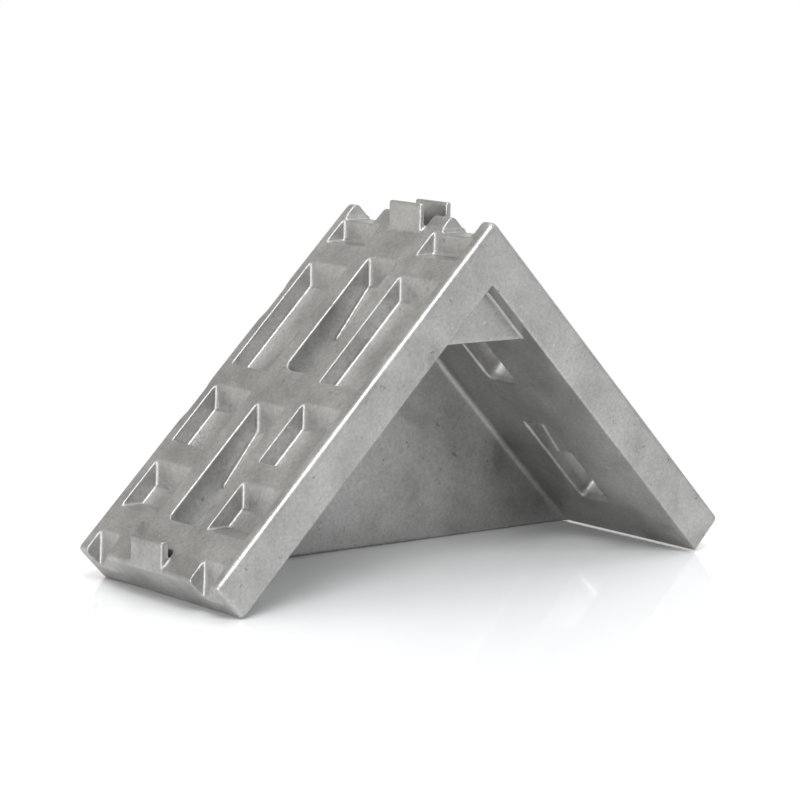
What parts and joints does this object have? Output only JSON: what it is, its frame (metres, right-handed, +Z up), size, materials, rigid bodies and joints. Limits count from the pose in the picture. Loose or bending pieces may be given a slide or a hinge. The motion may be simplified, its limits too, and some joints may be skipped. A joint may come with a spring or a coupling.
{
  "type": "corner bracket",
  "caption": "Cast aluminium corner bracket for slotted framing profiles: two slotted, pocketed legs with locating nibs, one side closed by a wall and a small web in the corner.",
  "frame": {"origin": "centre of the footprint, on the surface that the feet of the two legs stand on", "axes": "+X from leg to leg, +Y from the open side to the walled side, +Z up from the feet to the corner"},
  "size_m": [0.1238, 0.044, 0.07],
  "materials": {
    "cast_aluminium": "tumbled, as cast"
  },
  "bodies": {
    "root": {"corner_bracket": "cast_aluminium"}
  },
  "joints": []
}
